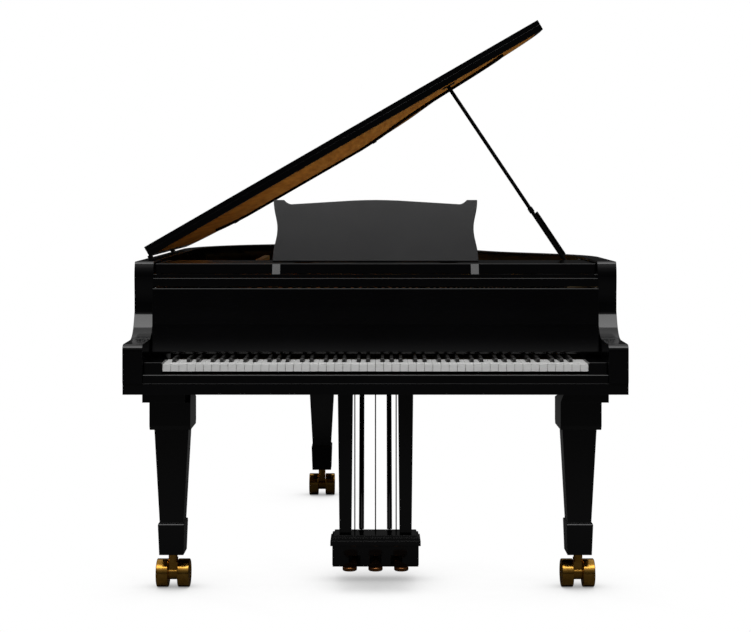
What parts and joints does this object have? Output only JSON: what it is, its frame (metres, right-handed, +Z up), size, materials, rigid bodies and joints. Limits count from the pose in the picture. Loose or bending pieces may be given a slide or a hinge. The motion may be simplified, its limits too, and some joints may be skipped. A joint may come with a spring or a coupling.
{
  "type": "grand piano",
  "caption": "Glossy black grand piano with its lid propped open, a music desk, a pedal lyre and three legs on casters.",
  "frame": {"origin": "on the floor, at the centre of the piano's bounding box", "axes": "+X to the treble side, +Y from the keyboard to the tail, +Z up"},
  "size_m": [1.4656, 2.183, 1.7445],
  "materials": {
    "lacquer": "polished black lacquer",
    "maple": "satin varnish",
    "spruce": "satin varnish",
    "gold_iron": "satin gold paint",
    "steel": "polished wire",
    "copper": "wound copper wire",
    "felt": "dense wool felt",
    "ivory": "polished",
    "ebony": "satin black",
    "brass": "polished"
  },
  "bodies": {
    "case": {"outer_rim": "lacquer", "left_arm": "lacquer", "right_arm": "lacquer", "keybed": "lacquer", "key_slip": "lacquer", "key_block_left": "lacquer", "key_block_right": "lacquer", "front_rail": "lacquer", "prop_bracket": "lacquer", "leg_left": "lacquer", "leg_right": "lacquer", "leg_tail": "lacquer", "lyre_top": "lacquer", "lyre_box": "lacquer", "lyre_pillar_left": "lacquer", "lyre_pillar_right": "lacquer", "lyre_brace_left": "lacquer", "lyre_brace_right": "lacquer", "damper_row": "lacquer", "inner_rim": "maple", "belly_rail": "maple", "case_beam_bass": "maple", "case_beam_treble": "maple", "pin_block": "maple", "long_bridge": "maple", "bass_bridge": "maple", "soundboard": "spruce", "cast_iron_plate": "gold_iron", "strings_treble": "steel", "strings_bass": "copper", "hammer_row": "felt", "white_keys": "ivory", "black_keys": "ebony", "lid_hinge_front": "brass", "lid_hinge_rear": "brass"},
    "lid": {"lid": "lacquer"},
    "front_flap": {"front_flap": "lacquer"},
    "prop_stick": {"prop_stick": "lacquer"},
    "short_prop": {"short_prop": "lacquer"},
    "music_shelf": {"music_shelf": "lacquer"},
    "music_desk": {"music_desk": "lacquer"},
    "desk_strut": {"desk_strut": "lacquer"},
    "fallboard": {"fallboard": "lacquer"},
    "pedal_left": {"pedal_left": "brass"},
    "pedal_rod_left": {"pedal_rod_left": "brass"},
    "pedal_middle": {"pedal_middle": "brass"},
    "pedal_rod_middle": {"pedal_rod_middle": "brass"},
    "pedal_right": {"pedal_right": "brass"},
    "pedal_rod_right": {"pedal_rod_right": "brass"},
    "caster_fork_left": {"caster_fork_left": "brass"},
    "caster_wheels_left": {"caster_wheels_left": "brass"},
    "caster_fork_right": {"caster_fork_right": "brass"},
    "caster_wheels_right": {"caster_wheels_right": "brass"},
    "caster_fork_tail": {"caster_fork_tail": "brass"},
    "caster_wheels_tail": {"caster_wheels_tail": "brass"},
    "key_c": {"key_c": "ivory"},
    "key_c_sharp": {"key_c_sharp": "ebony"},
    "key_d": {"key_d": "ivory"},
    "key_d_sharp": {"key_d_sharp": "ebony"},
    "key_e": {"key_e": "ivory"}
  },
  "joints": [
    {"name": "a_lid_lift", "type": "hinge", "parent": "case", "child": "lid", "pos_m": [-0.72068, 0.1585, 0.9845], "axis": [0, -1, 0], "range_deg": [0, 18]},
    {"name": "b_flap_unfold", "type": "hinge", "parent": "lid", "child": "front_flap", "pos_m": [-0.09774, -0.5165, 1.36454], "axis": [0.866, 0, 0.5], "range_deg": [0, 180]},
    {"name": "c_fallboard_close", "type": "hinge", "parent": "case", "child": "fallboard", "pos_m": [0.00882, -0.9015, 0.73], "axis": [1, 0, 0], "range_deg": [0, 88]},
    {"name": "d_desk_fold", "type": "hinge", "parent": "music_shelf", "child": "music_desk", "pos_m": [0.00882, -0.7885, 0.9854], "axis": [-1, 0, 0], "range_deg": [0, 70]},
    {"name": "desk_strut_fold", "type": "hinge", "parent": "music_desk", "child": "desk_strut", "pos_m": [0.00882, -0.75302, 1.06826], "axis": [1, 0, 0], "range_deg": [0, 134]},
    {"name": "e_shelf_slide", "type": "slide", "parent": "case", "child": "music_shelf", "axis": [0, -1, 0], "range_m": [0, 0.12]},
    {"name": "f_prop_fold", "type": "hinge", "parent": "case", "child": "prop_stick", "pos_m": [0.63082, -0.4115, 0.964], "axis": [-0.7288, -0.48, -0.4884], "range_deg": [0, 66]},
    {"name": "short_prop_swing", "type": "hinge", "parent": "prop_stick", "child": "short_prop", "pos_m": [0.6266, -0.4115, 0.99006], "axis": [0, 1, 0], "range_deg": [0, 22]},
    {"name": "pedal_left_press", "type": "hinge", "parent": "case", "child": "pedal_left", "pos_m": [-0.05518, -0.7465, 0.068], "axis": [1, 0, 0], "range_deg": [0, 4.5], "stiffness_Nm_per_rad": 60, "springref_deg": -2.86},
    {"name": "pedal_rod_left_rise", "type": "slide", "parent": "case", "child": "pedal_rod_left", "axis": [0, 0, 1], "range_m": [0, 0.0045]},
    {"name": "pedal_middle_press", "type": "hinge", "parent": "case", "child": "pedal_middle", "pos_m": [0.00882, -0.7465, 0.068], "axis": [1, 0, 0], "range_deg": [0, 4.5], "stiffness_Nm_per_rad": 60, "springref_deg": -2.86},
    {"name": "pedal_rod_middle_rise", "type": "slide", "parent": "case", "child": "pedal_rod_middle", "axis": [0, 0, 1], "range_m": [0, 0.0045]},
    {"name": "pedal_right_press", "type": "hinge", "parent": "case", "child": "pedal_right", "pos_m": [0.07282, -0.7465, 0.068], "axis": [1, 0, 0], "range_deg": [0, 4.5], "stiffness_Nm_per_rad": 60, "springref_deg": -2.86},
    {"name": "pedal_rod_right_rise", "type": "slide", "parent": "case", "child": "pedal_rod_right", "axis": [0, 0, 1], "range_m": [0, 0.0045]},
    {"name": "swivel_left", "type": "hinge", "parent": "case", "child": "caster_fork_left", "pos_m": [-0.60118, -0.8315, 0.09], "axis": [0, 0, 1], "continuous": true},
    {"name": "wheel_left_roll", "type": "hinge", "parent": "caster_fork_left", "child": "caster_wheels_left", "pos_m": [-0.60118, -0.8165, 0.042], "axis": [1, 0, 0], "continuous": true},
    {"name": "swivel_right", "type": "hinge", "parent": "case", "child": "caster_fork_right", "pos_m": [0.61882, -0.8315, 0.09], "axis": [0, 0, 1], "continuous": true},
    {"name": "wheel_right_roll", "type": "hinge", "parent": "caster_fork_right", "child": "caster_wheels_right", "pos_m": [0.61882, -0.8165, 0.042], "axis": [1, 0, 0], "continuous": true},
    {"name": "swivel_tail", "type": "hinge", "parent": "case", "child": "caster_fork_tail", "pos_m": [-0.20218, 0.7285, 0.09], "axis": [0, 0, 1], "continuous": true},
    {"name": "wheel_tail_roll", "type": "hinge", "parent": "caster_fork_tail", "child": "caster_wheels_tail", "pos_m": [-0.20218, 0.7435, 0.042], "axis": [1, 0, 0], "continuous": true},
    {"name": "key_c_press", "type": "hinge", "parent": "case", "child": "key_c", "pos_m": [0.00882, -0.8365, 0.68], "axis": [1, 0, 0], "range_deg": [0, 2.5], "stiffness_Nm_per_rad": 8, "springref_deg": -3.44},
    {"name": "key_c_sharp_press", "type": "hinge", "parent": "case", "child": "key_c_sharp", "pos_m": [0.00882, -0.8365, 0.68], "axis": [1, 0, 0], "range_deg": [0, 2.5], "stiffness_Nm_per_rad": 8, "springref_deg": -3.44},
    {"name": "key_d_press", "type": "hinge", "parent": "case", "child": "key_d", "pos_m": [0.00882, -0.8365, 0.68], "axis": [1, 0, 0], "range_deg": [0, 2.5], "stiffness_Nm_per_rad": 8, "springref_deg": -3.44},
    {"name": "key_d_sharp_press", "type": "hinge", "parent": "case", "child": "key_d_sharp", "pos_m": [0.00882, -0.8365, 0.68], "axis": [1, 0, 0], "range_deg": [0, 2.5], "stiffness_Nm_per_rad": 8, "springref_deg": -3.44},
    {"name": "key_e_press", "type": "hinge", "parent": "case", "child": "key_e", "pos_m": [0.00882, -0.8365, 0.68], "axis": [1, 0, 0], "range_deg": [0, 2.5], "stiffness_Nm_per_rad": 8, "springref_deg": -3.44}
  ],
  "couplings": [
    {"joint": "desk_strut_fold", "follows": "d_desk_fold", "ratio": 1.9129},
    {"joint": "pedal_rod_left_rise", "follows": "pedal_left_press", "m_per_rad": 0.055},
    {"joint": "pedal_rod_middle_rise", "follows": "pedal_middle_press", "m_per_rad": 0.055},
    {"joint": "pedal_rod_right_rise", "follows": "pedal_right_press", "m_per_rad": 0.055}
  ]
}
